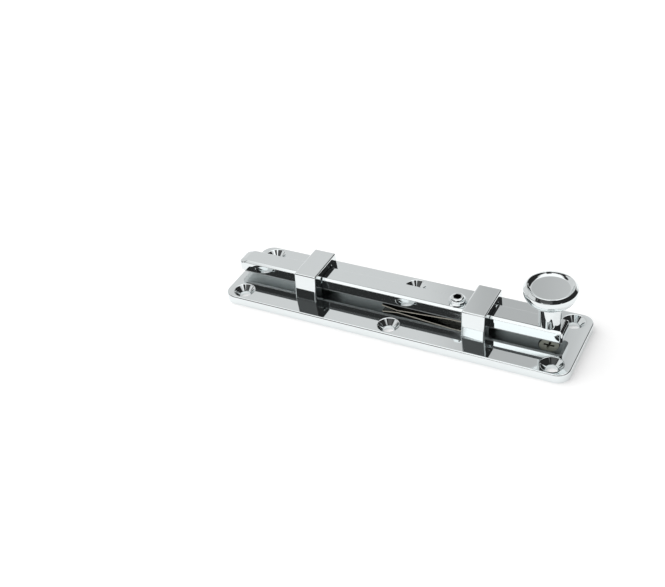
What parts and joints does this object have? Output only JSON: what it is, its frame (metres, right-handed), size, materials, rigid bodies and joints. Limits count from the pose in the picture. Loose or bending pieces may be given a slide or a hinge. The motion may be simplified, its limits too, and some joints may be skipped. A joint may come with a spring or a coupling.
{
  "type": "slide door bolt",
  "caption": "Straight slide bolt in polished chrome: a flat bar with a turned knob runs through bridge straps on a countersunk back plate.",
  "frame": {"origin": "middle of the back plate's rear face, the face that lies on the door", "axes": "+X along the plate towards the knob, +Y across the plate, +Z away from the door"},
  "size_m": [0.1524, 0.0392, 0.0303],
  "materials": {
    "chrome": "mirror-polished plating",
    "screw_steel": "dull olive-grey plating",
    "spring_steel": "tempered strip, faintly brown"
  },
  "bodies": {
    "base": {"base_plate": "chrome", "front_strap": "chrome", "rear_strap": "chrome"},
    "bolt": {"bolt_bar": "chrome", "knob": "chrome", "knob_screw": "screw_steel", "stop_screw": "chrome", "leaf_spring": "spring_steel", "spring_rivet": "spring_steel"}
  },
  "joints": [
    {"name": "bolt_slide", "type": "slide", "parent": "base", "child": "bolt", "axis": [-1, 0, 0], "range_m": [-0.0012, 0.018]}
  ]
}
